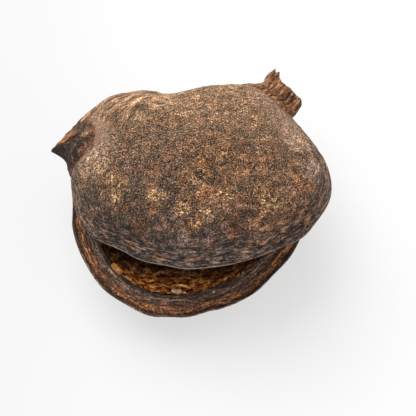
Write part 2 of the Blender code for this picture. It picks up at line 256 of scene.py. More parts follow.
# Tan blotches on the upper valve: place and radius, and how rusty each one is
BLOTCHES = (
    (-30, -7, 19, 4.5, 0.0),
    (-27, -12, 21, 3.5, 0.0),
    (-23, -15, 23, 3.0, 0.2),
    (-25, -19, 21, 4.0, 0.0),
    (-13, -22, 27, 4.0, 0.3),
    (-4, -27, 28, 4.0, 0.0),
    (3, -29, 28, 3.0, 0.1),
    (0, -32, 27, 3.0, 1.0),
    (9, -24, 30, 4.5, 0.2),
    (23, -25, 27, 6.0, 0.0),
    (34, 2, 19, 5.0, 0.0),
)

# Bands of colour across a rim, by share from its outer edge: grey skin, a dark groove that is painted shade,
# orange fibres, a dark line, a grey band, a pale edge and the dark shade under it, also painted
RIM_BANDS = (
    (0.0, "#7d6150"),
    (0.1, "#6d5140"),
    # Painted shade in the groove under the skin
    (0.16, "#32231a"),
    (0.24, "#754726"),
    (0.34, "#9c6338"),
    (0.47, "#8e5a36"),
    (0.55, "#4a372a"),
    (0.6, "#7c5e50"),
    (0.76, "#785b4f"),
    (0.83, "#977a62"),
    (0.87, "#453831"),
    (1.0, "#33271f"),
)
# Colours from the pits of a pattern to its crests, by the height of its noise; the palest, on the lining's
# crests, are partly painted glints
LINING_BANDS = (
    *((0.41, "#2c1205"), (0.46, "#8a4412"), (0.52, "#c87a2e")),
    *((0.57, "#dd9850"), (0.63, "#ecbb84")),
)
STALK_BANDS = ((0.4, "#24140b"), (0.46, "#693f22"), (0.53, "#a66d40"))
STALK_CREST = 0.6

# The photograph's view: the camera's elevation, its lens and sensor in millimetres, the picture's side in
# pixels, and how many pixels left of the middle and above it the middle of the pod is
CAMERA_RISE = 60.0
CAMERA_LENS = 85.0
CAMERA_SENSOR = 36.0
PICTURE_PX = 416.0
MM_PER_PX = 0.345
POD_LEFT_PX = 12.1
POD_ABOVE_PX = 31.8
# The studio, in metres and watts: a broad key light, pale surroundings and a floor that glows a little
KEY_PLACE = (-0.9, 1.4, 2.4)
KEY_SIZE = 2.8
KEY_WATTS = 98.0
STUDIO_LIGHT = 0.72
FLOOR_HALF = 1.5
FLOOR_GLOW = 0.58


def round_spline(radii, around):
    """A closed cubic B-spline through evenly spaced control radii, read at angles in degrees."""
    values = np.asarray(radii, float)
    count = len(values)
    place = np.asarray(around, float) / 360.0 * count
    whole = np.floor(place).astype(int)
    t = place - whole
    weights = (
        (1 - t) ** 3 / 6,
        (3 * t**3 - 6 * t**2 + 4) / 6,
        (-3 * t**3 + 3 * t**2 + 3 * t + 1) / 6,
        t**3 / 6,
    )
    return sum(w * values[(whole + k - 1) % count] for k, w in enumerate(weights))


def outline_radius(side, around):
    """Radius of a valve's lip: side 0 is the upper valve and 1 the lower."""
    radius = round_spline(UPPER_RADII, around)
    if side == 1:
        radius = radius + round_spline(LOWER_REACH, around) * mouth_share(around)
    return radius


def ease(share):
    """0 to 1 with a level start and end."""
    t = np.clip(share, 0, 1)
    return t * t * (3 - 2 * t)


def share_between(value, none, full):
    """0 where a value is at none or past it, 1 at full, and smooth between."""
    return ease((value - none) / (full - none))


def bump(distance, half_width):
    """1 in the middle of a smooth bump, fading to nothing over about two half widths."""
    return np.exp(-((distance / half_width) ** 2))


def turn_from(around, place):
    """Degrees from a place on the outline, between -180 and 180."""
    return (np.asarray(around, float) - place + 180.0) % 360.0 - 180.0


def mouth_share(around):
    """0 over the closed back, rising smoothly to 1 a little way in from each corner of the mouth."""
    turn = (np.asarray(around, float) - MOUTH_LEFT) % 360.0
    inside = np.minimum(turn, MOUTH_RIGHT - MOUTH_LEFT - turn)
    return ease(inside / MOUTH_EASE)


def corner(around):
    """A point of the suture's outline."""
    angle = math.radians(around)
    radius = float(round_spline(UPPER_RADII, around))
    return np.array([radius * math.cos(angle), radius * math.sin(angle)])


def share_in_front(x, y):
    """How far a point lies in front of the line through the mouth's corners: 1 at the frontmost lip."""
    left, right = corner(MOUTH_LEFT), corner(MOUTH_RIGHT)
    along = (right - left) / np.linalg.norm(right - left)
    front = np.array([along[1], -along[0]])
    lip = corner(MOUTH_FRONT)
    return np.maximum((x - left[0]) * front[0] + (y - left[1]) * front[1], 0) / ((lip - left) @ front)


def swells(points, length, seed):
    """A smooth uneven field of about -1 to 1 over points, whose waves are about that long."""
    draw = np.random.RandomState(seed)
    field = np.zeros(points.shape[:-1])
    for _ in range(SWELL_WAVES):
        direction = draw.normal(size=3)
        direction /= np.linalg.norm(direction)
        rate = 2 * math.pi / (length * draw.uniform(0.7, 1.5))
        field += np.sin(points @ direction * rate + draw.uniform(0, 2 * math.pi))
    return field / math.sqrt(SWELL_WAVES)


def beak_field(side, around, height, radius):
    """Distance from the beak's axis, 1 at its root's edge, and the lean: -1 behind it and 1 in front."""
    across = np.radians(turn_from(around, BEAK_AROUND)) * radius
    across = across / np.where(across > 0, BEAK_SPREAD_FRONT, BEAK_SPREAD_BACK)
    root = np.sqrt(across**2 + (height / BEAK_SPREAD_UP[side]) ** 2 + BEAK_BLUNTNESS**2)
    return root, across / root


def beak_reach(side, root, lean):
    """How far the beak draws the husk out."""
    first, over = SHARPENING[side]
    behind, front = BEAK_SHARPNESS
    sharpness = behind + (front - behind) * ease((lean - first) / over)
    return BEAK_LENGTH * np.clip(1 - root, 0, 1) ** sharpness


def beak_moat(root, lean):
    """Depth of the hollow round the beak's root."""
    return MOAT_DEPTH * bump(root - MOAT_PLACE, MOAT_WIDTH) * bump(lean - MOAT_LEAN, MOAT_TURN)


def furrow(side, around, height):
    """Depth of the furrow that follows the lip along the upper valve's right shoulder."""
    if side == 1:
        return np.zeros(np.broadcast(around, height).shape)
    along = ease(1 - np.abs(turn_from(around, FURROW_AROUND)) / FURROW_REACH)
    return FURROW_DEPTH * along * bump(height - FURROW_HEIGHT, FURROW_HALF_WIDTH)


def valve(side, layer, up, around):
    """Points of one valve, rings by columns, with their height over the lip and distance from the beak."""
    sign = (1.0, -1.0)[side]
    up = np.radians(np.asarray(up, float))[:, None]
    around = np.asarray(around, float)[None, :]
    angle = np.radians(around)
    radius = outline_radius(side, around)
    lip_share = np.clip(share_in_front(radius * np.cos(angle), radius * np.sin(angle)), 0, 1)
    if layer == "inner":
        start = math.radians(INNER_LIP_UP) * mouth_share(around)
        up = start + up * (1 - start / (math.pi / 2))

    lens = LENS[side] * lip_share
    out = (1 - lens) * np.maximum(np.cos(up), 0) ** FULLNESS_OUT + lens * (1 - up / (math.pi / 2))
    out = np.maximum(out, 0)
    height = VALVE_HEIGHT[side] * np.sin(up) ** FULLNESS_UP
    x = CREST_X[side] * (1 - out) + radius * np.cos(angle) * out
    y = CREST_Y[side] * (1 - out) + radius * np.sin(angle) * out

    # The outward direction of the smooth dome, which the wall and the relief are measured along
    flat = VALVE_HEIGHT[side] * np.cos(up)
    rise = radius * np.sin(up)
    size = np.hypot(flat, rise)
    level = flat / size
    normal = np.stack(np.broadcast_arrays(level * np.cos(angle), level * np.sin(angle), rise / size), -1)
    points = np.stack(np.broadcast_arrays(x, y, height), -1)
    root, lean = beak_field(side, around, height, radius)
    if layer == "inner":
        rim = RIM_WIDTH_BACK + (RIM_WIDTH - RIM_WIDTH_BACK) * mouth_share(around)
        deep = ease(np.degrees(up) / WALL_EASE)
        depth = rim + (WALL - rim) * deep
        rough = swells(points * (1, 1, sign), LINING_LENGTH, LINING_SEED) * LINING_RELIEF * deep
        points = points - normal * (depth + rough)[..., None]
    else:
        swell = SWELL * swells(points * (1, 1, sign), SWELL_LENGTH, SKIN_SEED)
        lift = swell - beak_moat(root, lean) - furrow(side, around, height)
        beak = math.radians(BEAK_AROUND)
        reach = beak_reach(side, root, lean)[..., None] * np.array([math.cos(beak), math.sin(beak), 0.0])
        points = points + normal * lift[..., None] + reach
    points[..., 2] = np.maximum(points[..., 2], 0)
    over_lip = points[..., 2].copy()
    gape = GAPE[side] * share_in_front(points[..., 0], points[..., 1]) ** GAPE_POWER
    points[..., 2] = sign * (points[..., 2] + gape)
    return points, over_lip, np.broadcast_to(root, over_lip.shape)


def rim_dip(share, around):
    """How far the broken face of a lip sinks below the line from its outer to its inner edge."""
    groove = GROOVE_DEPTH * bump(share - GROOVE_PLACE, GROOVE_HALF_WIDTH)
    band = BAND_DEPTH * np.clip(share / BAND_START, 0, 1)
    step = STEP_DEPTH * np.clip((share - STEP_PLACE) / STEP_WIDTH, 0, 1)
    ends = np.clip(np.minimum(share, 1 - share) / EDGE_SHARE, 0, 1)
    return (groove + band + step) * ends * np.sqrt(mouth_share(around))


def stalk_frame():
    """The stalk's axis, the direction across it and the direction up it."""
    turn, rise = math.radians(STALK_TURN), math.radians(STALK_RISE)
    axis = np.array([math.cos(turn) * math.cos(rise), math.sin(turn) * math.cos(rise), math.sin(rise)])
    across = np.array([math.sin(turn), -math.cos(turn), 0.0])
    return axis, across, np.cross(across, axis)


def hump(turn, size_turn_half):
    """A hump round the stalk, at turns in radians."""
    size, place, half = size_turn_half
    return size * bump(turn_from(np.degrees(turn), place), half)


def ripples(turn, waves):
    """Waves round the stalk, added up."""
    return sum(high * np.sin(count * turn + phase) for count, high, phase in waves)


class Shell:
    """Vertices, faces and what each vertex notes of its place, while one mesh is put together."""

    def __init__(self):
        self.points = []
        self.notes = []
        self.faces = []
        self.count = 0

    def add(self, points, **notes):
        """Adds vertices and gives their numbers."""
        points = np.asarray(points, float).reshape(-1, 3)
        self.points.append(points)
        self.notes.append({k: np.broadcast_to(v, len(points)).astype(float) for k, v in notes.items()})
        self.count += len(points)
        return np.arange(self.count - len(points), self.count)

    def strip(self, low, high, flip, slot=0, closed=True, skip=None):
        """Faces between two rows of vertices. Where the high row has half as many, it narrows two to one."""
        n = len(high) if closed else len(high) - 1
        i = np.arange(n)
        if skip is not None:
            i = i[(i < skip[0]) | (i >= skip[1])]
        k = (i + 1) % len(high)
        if len(low) == len(high):
            made = [np.stack([low[i], low[k], high[k], high[i]], 1)]
        else:
            a, b, c = low[2 * i], low[2 * i + 1], low[(2 * i + 2) % len(low)]
            made = [np.stack(t, 1) for t in ((a, b, high[i]), (b, high[k], high[i]), (b, c, high[k]))]
        for faces in made:
            faces = faces[:, ::-1] if flip else faces
            self.faces += [(face, slot) for face in faces.tolist()]

    def fan(self, row, centre, flip, slot=0):
        """Closes a row of vertices with triangles to one vertex."""
        for a, b in zip(row, np.roll(row, -1)):
            face = [int(a), int(b), int(centre)]
            self.faces.append((face[::-1] if flip else face, slot))

    def arrays(self):
        """Points, notes, faces and material slots, without the vertices that no face uses."""
        points = np.concatenate(self.points)
        notes = {}
        for name in sorted({name for row in self.notes for name in row}):
            rows = [row.get(name, np.zeros(len(p))) for row, p in zip(self.notes, self.points)]
            notes[name] = np.concatenate(rows)
        used = np.unique(np.concatenate([face for face, _ in self.faces]))
        renumber = np.full(len(points), -1)
        renumber[used] = np.arange(len(used))
        faces = [renumber[face].tolist() for face, _ in self.faces]
        return points[used], {k: v[used] for k, v in notes.items()}, faces, [slot for _, slot in self.faces]


def mesh_object(name, shell, materials, relief=None):
    """Makes the object, and lifts its vertices along their normals by relief(points, notes) millimetres."""
    points, notes, faces, slots = shell.arrays()
    mesh = bpy.data.meshes.new(name)
    mesh.from_pydata(points.tolist(), [], faces)
    mesh.update()
    if relief is not None:
        normals = np.zeros(len(points) * 3, np.float32)
        mesh.vertices.foreach_get("normal", normals)
        points = points + normals.reshape(-1, 3).astype(float) * relief(points, notes)[:, None]
    placed = (points + POD_PLACE) * MM
    placed[:, 2] = np.maximum(placed[:, 2], 0)
    mesh.vertices.foreach_set("co", placed.astype(np.float32).ravel())
    for key, values in notes.items():
        noted = mesh.attributes.new(key, "FLOAT", "POINT")
        noted.data.foreach_set("value", values.astype(np.float32))
    for material in materials:
        mesh.materials.append(material)
    mesh.polygons.foreach_set("material_index", slots)
    mesh.shade_smooth()
    mesh.set_sharp_from_angle(angle=math.radians(SHARP_EDGE))
    mesh.update()
    made = bpy.data.objects.new(name, mesh)
    bpy.context.scene.collection.objects.link(made)
    return made


def lumps(points, size, seed=0.0):
    """Smooth noise of about -1 to 1 over points, whose lumps are about that many millimetres wide."""
    shift = Vector((seed * 7.31, seed * 3.17, seed * 5.23))
    return np.array([noise.noise(Vector(p) + shift) for p in (points / size).tolist()])


def raised(points, layer):
    """One layer of relief over points, in millimetres."""
    size, high, seed = layer
    return high * lumps(points, size, seed)


def fine_columns():
    """Angles of the columns: first the closed back from the mouth's right corner, then the mouth."""
    closed = np.linspace(MOUTH_RIGHT - 360.0, MOUTH_LEFT, BACK_COLUMNS + 1)[:-1]
    return np.concatenate([closed, mouth_columns()[:-1]])


def mouth_columns():
    """Angles of the columns all along the mouth, both corners included."""
    return np.linspace(MOUTH_LEFT, MOUTH_RIGHT, MOUTH_COLUMNS + 1)


def add_layer(shell, side, layer, rings, slot, patch=None):
    """One layer of a valve, lip to crest. A patch's faces, as first and last column and ring, stay out."""
    around = fine_columns()
    up = np.linspace(0, 90, rings + 1)
    points, over_lip, root = valve(side, layer, up, around)
    flip = (side == 1) != (layer == "inner")
    rows = []
    for j in range(rings):
        step = 2 ** sum(up[j] >= limit for limit in HALVED_AT)
        lip = over_lip[j][::step]
        notes = {"lip": lip, "root": np.minimum(root[j][::step], FAR_FROM_BEAK), "side": side}
        # The lining's relief fades out by this note at the back, where the valves' linings meet
        notes["inward"] = lip - lip.min() * 0.5
        notes["turn"] = around[::step]
        notes["front"] = mouth_share(around[::step])
        rows.append(shell.add(points[j][::step], **notes))
    for j, (low, high) in enumerate(zip(rows, rows[1:])):
        skip = patch[:2] if patch is not None and j < patch[2] else None
        shell.strip(low, high, flip, slot, skip=skip)
    top = over_lip[-1].mean()
    crest = shell.add(points[-1].mean(0), lip=top, root=FAR_FROM_BEAK, side=side, inward=top * 0.5, front=1)
    shell.fan(rows[-1], crest[0], flip, slot)
    return rows


def stalk_ring(places, share):
    """The stalk's points, share of the way from its root to its ragged end, and their turns round it."""
    axis, across, upward = stalk_frame()
    middle = places.mean(0)
    arm = places - middle
    turn = np.arctan2(arm @ upward, arm @ across)
    flare = STALK_FLARE[0] + STALK_FLARE[1] * share**2
    stout = (1 + ripples(turn, STALK_FLUTES) + hump(turn, STALK_RIDGE)) * flare
    wide = STALK_HALF_WIDTH * np.outer(np.cos(turn), across)
    section = wide + STALK_HALF_HEIGHT * np.outer(np.sin(turn), upward)
    threads = [Vector((math.cos(t), math.sin(t), 0)) * FRAY_THREADS + Vector((0, 0, 3)) for t in turn]
    rag = ripples(turn, STALK_RAG) + sum(hump(turn, tip) for tip in STALK_TIPS) - hump(turn, STALK_CORNER)
    rag += FRAY * np.array([noise.noise(thread) for thread in threads])
    along = STALK_REACH * share + rag * share**3
    aside = STALK_SHIFT + hump(turn, STALK_FILLET) * math.sin(math.pi * share)
    target = middle + np.outer(aside, across) + section * stout[:, None] + np.outer(along, axis)
    bent = ease(share / STALK_NECK)
    return (places + axis * STALK_REACH * share) * (1 - bent) + target * bent, turn


def patch_loop(upper, lower, patch):
    """The loop of vertices round a patch that lies across the closed suture."""
    first, last, high = patch
    loop = [upper[high][i] for i in range(first, last + 1)]
    loop += [upper[j][last] for j in range(high - 1, -1, -1)]
    loop += [lower[j][last] for j in range(1, high + 1)]
    loop += [lower[high][i] for i in range(last - 1, first - 1, -1)]
    loop += [lower[j][first] for j in range(high - 1, 0, -1)]
    return np.array(loop + [upper[j][first] for j in range(high)])


def add_stalk(shell, upper, lower, patch):
    """The stub of the torn stalk on the hole that the patch left, with a dished, frayed end."""
    ring = patch_loop(upper, lower, patch)
    places = np.concatenate(shell.points)[ring]
    notes = {"lip": FAR_OVER_LIP, "root": FAR_FROM_BEAK, "side": 0}
    for share in np.arange(1, STALK_STEPS + 1) / STALK_STEPS:
        rim, turn = stalk_ring(places, share)
        fresh = shell.add(rim, stalk=share, turn=np.degrees(turn), **notes)
        shell.strip(ring, fresh, True, 1)
        ring = fresh
    axis = stalk_frame()[0]
    heart = rim.mean(0) - axis * DISH_DEPTH
    for share in np.arange(1, DISH_STEPS) / DISH_STEPS:
        points = heart + (rim - heart) * (1 - share) - axis * DISH_BOWL * math.sin(math.pi * share)
        fresh = shell.add(points, stalk=1 + share, turn=np.degrees(turn), **notes)
        shell.strip(ring, fresh, True, 2)
        ring = fresh
    shell.fan(ring, shell.add(heart, stalk=2, turn=0, **notes)[0], True, 2)


def skin_relief(points, notes):
    """Felt lumps all over, ribs along the lips, furrows on the right shoulder, fibres on beak and stalk."""
    x, y, z = points.T
    over, stalk = notes["lip"], notes["stalk"]
    upper = notes["side"] == 0
    rise = sum(raised(points, layer) for layer in FELT_LUMPS)
    along = np.stack([x * ALONG_LIP, y * ALONG_LIP, over], 1)
    front = RIBS_AT_BACK + (1 - RIBS_AT_BACK) * share_between(y, -8, -28)
    rise += raised(along, LIP_RIBS) * share_between(over, 15, 7) * front
    right = share_between(x, 22, 32) * share_between(over, 20, 14) * upper
    rise += raised(along, SHOULDER_FURROWS) * right
    fibre = np.stack([x * ALONG_BEAK, y, z], 1)
    rise += raised(fibre, BEAK_FIBRES) * share_between(notes["root"], 1.2, 0.7)
    crust = bump(np.hypot(x - CRUST_X, y - CRUST_Y), CRUST_HALF_WIDTH) * upper
    rise += np.maximum(raised(points, CRUST_CRUMBS), 0) * crust
    skin = rise * share_between(over, 0, 0.8) * share_between(stalk, 0.3, 0)
    return skin + stalk_relief(points, notes) * share_between(stalk, 0, 0.35)


def stalk_relief(points, notes):
    """Ribs and threads along the stalk, which fade towards its end, and rough lumps on the torn end."""
    stalk, turn = notes["stalk"], np.radians(notes["turn"])
    fibre = np.stack([np.cos(turn) * STALK_GIRTH, np.sin(turn) * STALK_GIRTH, stalk * STALK_LONG_RELIEF], 1)
    deep = raised(fibre, STALK_RIBS) + raised(fibre, STALK_THREADS) + raised(points, STALK_LUMPS)
    deep = deep * (1 - STALK_WORN_AT_END * ease(stalk))
    return np.where(stalk <= 1.0, deep, raised(points, END_LUMPS))


def make_skin(materials):
    """The outside of both valves with the beak, and the stub of the stalk grown from it."""
    shell = Shell()
    # The stalk's patch starts one column behind the mouth's right corner
    columns = np.flatnonzero(fine_columns()[:BACK_COLUMNS] <= STALK_LAST)[1:]
    patch = (int(columns[0]), int(columns[-1]), round(STALK_BASE_UP / 90 * SKIN_RINGS))
    upper = add_layer(shell, 0, "outer", SKIN_RINGS, 0, patch)
    lower = add_layer(shell, 1, "outer", SKIN_RINGS, 0, patch)
    weld_suture(shell, upper[0], lower[0])
    add_stalk(shell, upper, lower, patch)
    return mesh_object("pod_skin", shell, materials, skin_relief)


def weld_suture(shell, upper, lower):
    """Along the closed back both valves use the upper valve's row of vertices."""
    shared = slice(0, BACK_COLUMNS + 1)
    swap = dict(zip(lower[shared].tolist(), upper[shared].tolist()))
    shell.faces = [([swap.get(v, v) for v in face], slot) for face, slot in shell.faces]
    lower[shared] = upper[shared]


def lining_relief(points, notes):
    """Coarse lumpy fibres in the hollow; fine fibres and streaks across the rims' broken faces."""
    share, rim = notes["share"], notes["rim"]
    hollow = raised(points, HOLLOW_LUMPS) + np.abs(raised(points, HOLLOW_CRESTS))
    hollow = hollow * share_between(notes["inward"], 0, 1.2)
    streak = np.stack([points[:, 0] * ALONG_RIM, points[:, 1] * ALONG_RIM, share * RIM_ACROSS], 1)
    fibrous = share_between(share, 0.2, 0.26) * share_between(share, 0.56, 0.51)
    face = raised(streak, RIM_STREAKS) + raised(points, RIM_FIBRES) * fibrous + raised(points, RIM_GRAIN)
    face = face * share_between(np.minimum(share, 1 - share), 0, 0.08) * notes["open"]
    return hollow * (1 - rim) + face * rim


def add_rim(shell, side):
    """The broken face of one lip, from its outer edge to its inner edge, all along the mouth."""
    around = mouth_columns()
    lip, inner = (valve(side, layer, [0.0], around)[0][0] for layer in ("outer", "inner"))
    rows = []
    for share in np.arange(RIM_STEPS + 1) / RIM_STEPS:
        points = lip + (inner - lip) * share
        points[:, 2] += (1.0, -1.0)[side] * rim_dip(share, around)
        rows.append(shell.add(points, share=share, rim=1, open=np.sqrt(mouth_share(around))))
    for low, high in zip(rows, rows[1:]):
        shell.strip(low, high, side == 0, 0, closed=False)


def make_lining(materials):
    """The inside of the husk: the broken rim faces and the lining of the hollow."""
    shell = Shell()
    for side in (0, 1):
        add_rim(shell, side)
        add_layer(shell, side, "inner", LINING_RINGS, 1)
    return mesh_object("pod_lining", shell, materials, lining_relief)


def rim_frame(around, share):
    """A place on the lower rim's face, and the directions along the rim, across it and up from it."""
    column = np.array([around])
    lip = valve(1, "outer", [0.0], column)[0][0, 0]
    inner = valve(1, "inner", [0.0], column)[0][0, 0]
    ahead = valve(1, "inner", [0.0], column + 1.0)[0][0, 0]
    along = (ahead - inner) / np.linalg.norm(ahead - inner)
    across = (inner - lip) - along * ((inner - lip) @ along)
    across = across / np.linalg.norm(across)
    upward = np.cross(along, across)
    return lip + (inner - lip) * share, np.stack([along, across, upward * np.sign(upward[2])])


def make_bit(name, bit, material):
    """A lumpy bit of torn pith that lies on the lower rim."""
    around, share, size, seed = bit
    middle, directions = rim_frame(around, share)
    half = directions * np.array(size)[:, None] / 2
    shell = Shell()
    turn = np.radians(np.linspace(0, 360, BIT_COLUMNS + 1)[:-1])
    rings = []
    for tilt in np.radians(np.linspace(-90, 90, BIT_RINGS + 1)[1:-1]):
        way = np.stack([np.cos(turn), np.sin(turn), np.full(len(turn), math.tan(tilt * BIT_FULLNESS))], 1)
        way = way / np.linalg.norm(way, axis=1)[:, None]
        rough = 1 + sum(high * lumps(way, wide, seed + k) for k, (wide, high) in enumerate(BIT_LUMPS))
        square = way * rough[:, None] / np.abs(way).max(axis=1)[:, None] ** BIT_SQUARENESS
        rings.append(shell.add(middle + half[2] + square @ half))
    for low, high in zip(rings, rings[1:]):
        shell.strip(low, high, False)
    for ring, flip in ((rings[0], True), (rings[-1], False)):
        points = np.concatenate(shell.points)[ring]
        shell.fan(ring, shell.add(points.mean(0))[0], flip)
    return mesh_object(name, shell, [material])


def colour(code):
    """An sRGB hex colour as linear RGBA."""
    values = [int(code[i : i + 2], 16) / 255 for i in (1, 3, 5)]
    return tuple(v / 12.92 if v <= 0.04045 else ((v + 0.055) / 1.055) ** 2.4 for v in values) + (1.0,)


def add(tree, kind, inputs=(), out=0, stops=(), **settings):
    """Adds a shader node with its settings, values, links and colour stops, and gives one of its outputs."""
    made = tree.nodes.new("ShaderNode" + kind)
    for name, value in settings.items():
        setattr(made, name, value)
    for name, value in dict(inputs).items():
        if isinstance(value, bpy.types.NodeSocket):
            tree.links.new(value, made.inputs[name])
        else:
            made.inputs[name].default_value = value
    for _ in stops[2:]:
        made.color_ramp.elements.new(0.5)
    for index, (position, code) in enumerate(stops):
        made.color_ramp.elements[index].position = position
        made.color_ramp.elements[index].color = colour(code)
    return made.outputs[out]


def place(tree, stretch=(1.0, 1.0, 1.0)):
    """Place in the pod's frame in millimetres, squeezed along the axes that a pattern is drawn out along."""
    scale = tuple(s / MM for s in stretch)
    shift = tuple(-p * s for p, s in zip(POD_PLACE.tolist(), stretch))
    here = add(tree, "TexCoord", out="Object")
    return add(tree, "VectorMath", {0: here, 1: scale, 2: shift}, operation="MULTIPLY_ADD")


def along_lip(tree, squeeze=ALONG_LIP, across="lip", width=1.0):
    """Coordinates for a pattern that is drawn out along the lip and follows a note of the mesh across it."""
    up = add(tree, "CombineXYZ", {2: times(tree, read(tree, across), width)})
    return add(tree, "VectorMath", {0: place(tree, (squeeze, squeeze, 0.0)), 1: up}, operation="ADD")


def read(tree, name):
    """A point's x, y or z in the pod's frame, or else what the mesh notes there under that name."""
    if name in "xyz":
        return add(tree, "SeparateXYZ", {0: place(tree)}, out=name.upper())
    return add(tree, "Attribute", out="Fac", attribute_name=name, attribute_type="GEOMETRY")


def fade(tree, value, none, full, least=0.0, most=1.0):
    """least where a value is at none, most where it is at full, smooth between. A name is read first."""
    value = read(tree, value) if isinstance(value, str) else value
    inputs = {"Value": value, "From Min": none, "From Max": full, "To Min": least, "To Max": most}
    return add(tree, "MapRange", inputs, interpolation_type="SMOOTHSTEP")


def times(tree, *values):
    """The product of some shares."""
    total = values[0]
    for value in values[1:]:
        total = add(tree, "Math", {0: total, 1: value}, operation="MULTIPLY")
    return total


def blobs(tree, where, size, detail=3.0, rough=0.6, twist=0.0):
    """Uneven noise about 0.5, whose blobs are about that many millimetres wide."""
    inputs = {"Vector": where, "Scale": 1.0 / size, "Detail": detail, "Roughness": rough}
    return add(tree, "TexNoise", {**inputs, "Distortion": twist}, noise_dimensions="3D")


def ragged(tree, value, size, reach, detail, rough):
    """A value that wavers to and fro by up to half the reach, so that a border drawn by it is ragged."""
    waver = blobs(tree, place(tree), size, detail, rough)
    waver = add(tree, "Math", {0: waver, 1: 0.5}, operation="SUBTRACT")
    return add(tree, "Math", {0: waver, 1: reach, 2: read(tree, value)}, operation="MULTIPLY_ADD")


def near(tree, *spots):
    """The strength of some spots at each point, the strongest where they overlap."""
    here, best = place(tree), None
    for *centre, radius, strength in spots:
        away = add(tree, "VectorMath", {0: here, 1: centre}, out="Value", operation="DISTANCE")
        spot = fade(tree, away, radius, radius * SPOT_HEART, 0.0, strength)
        best = spot if best is None else add(tree, "Math", {0: best, 1: spot}, operation="MAXIMUM")
    return best


def lay(tree, base, tone, *shares):
    """Lays a tone, as a hex colour or from another node, over the base, as thickly as the shares say."""
    tone = colour(tone) if isinstance(tone, str) else tone
    return add(tree, "Mix", {0: times(tree, *shares), 6: base, 7: tone}, out=2, data_type="RGBA")


def shade(tree, base, grain, low, high):
    """The base, darkened to low times itself where the grain is 0 and lightened to high times at 1."""
    power = add(tree, "Math", {0: high / low, 1: grain}, operation="POWER")
    return add(tree, "VectorMath", {0: base, "Scale": times(tree, power, low)}, operation="SCALE")


def start_material(name, **values):
    """A material with constant values on its shader. Dry plant fibre has an IOR of about 1.5."""
    material = bpy.data.materials.new(name)
    material.use_nodes = True
    shader = material.node_tree.nodes["Principled BSDF"]
    shader.inputs["IOR"].default_value = 1.5
    shader.inputs["Metallic"].default_value = 0.0
    for key, value in values.items():
        shader.inputs[key.replace("_", " ")].default_value = value
    return material, material.node_tree, shader


def finish_material(tree, shader, base, grain, rough, depth):
    """Links the colour, the roughness in the grain's pits and on its crests, and its depth in mm."""
    raised_grain = add(tree, "Bump", {"Height": grain, "Distance": depth * MM, "Strength": 1.0})
    tree.links.new(base, shader.inputs["Base Color"])
    tree.links.new(fade(tree, grain, 0.0, 1.0, *rough), shader.inputs["Roughness"])
    tree.links.new(raised_grain, shader.inputs["Normal"])


def skin_tone(tree):
    """Broad tones: pale at the back, golden brown at the right, grey in front, dark low at the left."""
    wide = blobs(tree, place(tree), TONE_PATCH, 4.0, 0.65)
    base = lay(tree, colour("#5a4030"), "#896345", fade(tree, wide, 0.4, 0.58))
    base = lay(tree, base, "#735138", fade(tree, "x", -6.0, 26.0), 0.65)
    base = lay(tree, base, "#c79b73", fade(tree, "y", -10.0, 26.0), fade(tree, wide, 0.3, 0.6, 0.6, 0.95))
    base = shoulder_tone(tree, base)
    base = lay(tree, base, "#6c5c56", near(tree, GREY_FRONT))
    base = lay(tree, base, "#342823", near(tree, *DARK_LEFT))
    low = fade(tree, "lip", 8.0, 1.0)
    return lay(tree, base, "#3f3028", low, fade(tree, "x", -30.0, 10.0, 0.4, 0.75))


def shoulder_tone(tree, base):
    """Along the right shoulder, a pale ridge, partly a painted sheen, over a furrow darkened with painted
    shade, both parallel to the lip.
    """
    broken = fade(tree, blobs(tree, along_lip(tree), SHOULDER_PATCH), 0.28, 0.52)
    # The pale ridge: partly the husk's own tone, partly a painted sheen
    base = lay(tree, base, "#c0a08c", near(tree, *SHOULDER_RIDGE), broken, 0.85)
    # Painted shade in the furrow below the ridge
    furrow_shade = times(tree, fade(tree, "lip", 5.0, 7.5), fade(tree, "lip", 11.5, 9.0))
    return lay(tree, base, "#33251e", fade(tree, "x", 26.0, 34.0), furrow_shade, broken, 0.75)


